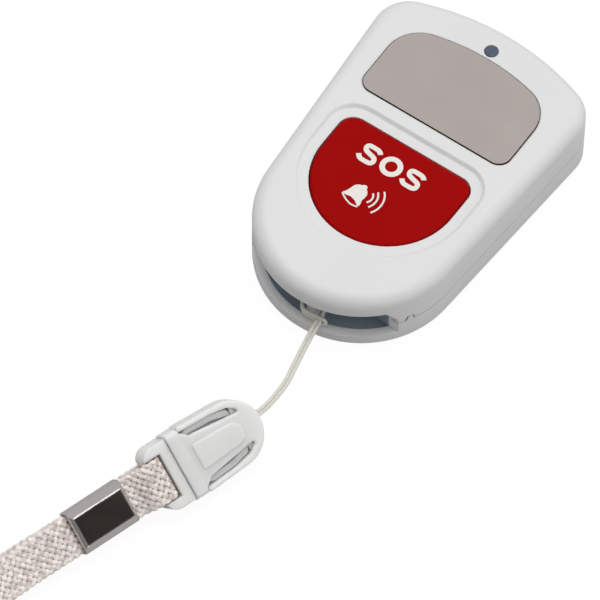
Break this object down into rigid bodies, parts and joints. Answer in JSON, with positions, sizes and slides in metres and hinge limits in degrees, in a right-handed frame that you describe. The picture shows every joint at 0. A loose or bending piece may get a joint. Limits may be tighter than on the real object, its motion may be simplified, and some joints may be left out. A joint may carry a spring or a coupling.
{
  "type": "panic button pendant",
  "caption": "White pendant alarm button with a tapered round-ended case, a large red D-shaped press button, a blank face plate, a status lens and a buckled lanyard.",
  "frame": {"origin": "centre of the case's rear face, on which it lies, at the middle of its length and width", "axes": "+Z out of the front face, +Y towards the lens end, +X to the right seen from the front"},
  "size_m": [0.067, 0.2381, 0.0143],
  "materials": {
    "white_abs": "fine matte",
    "red_abs": "matte",
    "satin_plate": "fine satin, warm grey",
    "smoked_lens": "smoked, clear",
    "slate_plastic": "matte",
    "board_laminate": "solder mask",
    "black_plastic": "matte",
    "led_resin": "clear",
    "nickel_steel": "plated",
    "screw_steel": "zinc plated",
    "string_fibre": "twisted",
    "milky_plastic": "satin",
    "woven_strap": "plaited, shiny",
    "polished_nickel": "polished"
  },
  "bodies": {
    "case": {"front_cover": "white_abs", "rear_cover": "white_abs", "face_plate": "satin_plate", "status_lens": "smoked_lens", "slot_liner": "slate_plastic", "circuit_board": "board_laminate", "switch_body": "black_plastic", "status_led": "led_resin", "radio_chip": "black_plastic", "crystal": "nickel_steel", "antenna": "nickel_steel", "battery": "nickel_steel", "battery_holder": "black_plastic", "battery_clip": "nickel_steel", "battery_contact": "nickel_steel", "cover_screws": "screw_steel", "string": "string_fibre", "buckle_socket": "milky_plastic", "buckle_plug": "milky_plastic", "strap_tab": "woven_strap", "strap_clamp": "polished_nickel", "strap_loop": "woven_strap"},
    "button": {"alarm_button": "red_abs"},
    "plunger": {"switch_plunger": "black_plastic"}
  },
  "joints": [
    {"name": "button_press", "type": "slide", "parent": "case", "child": "button", "axis": [0, 0, -1], "range_m": [0, 0.0005], "stiffness_N_per_m": 400},
    {"name": "switch_press", "type": "slide", "parent": "case", "child": "plunger", "axis": [0, 0, -1], "range_m": [0, 0.0005]}
  ],
  "couplings": [
    {"joint": "switch_press", "follows": "button_press", "ratio": 1}
  ]
}
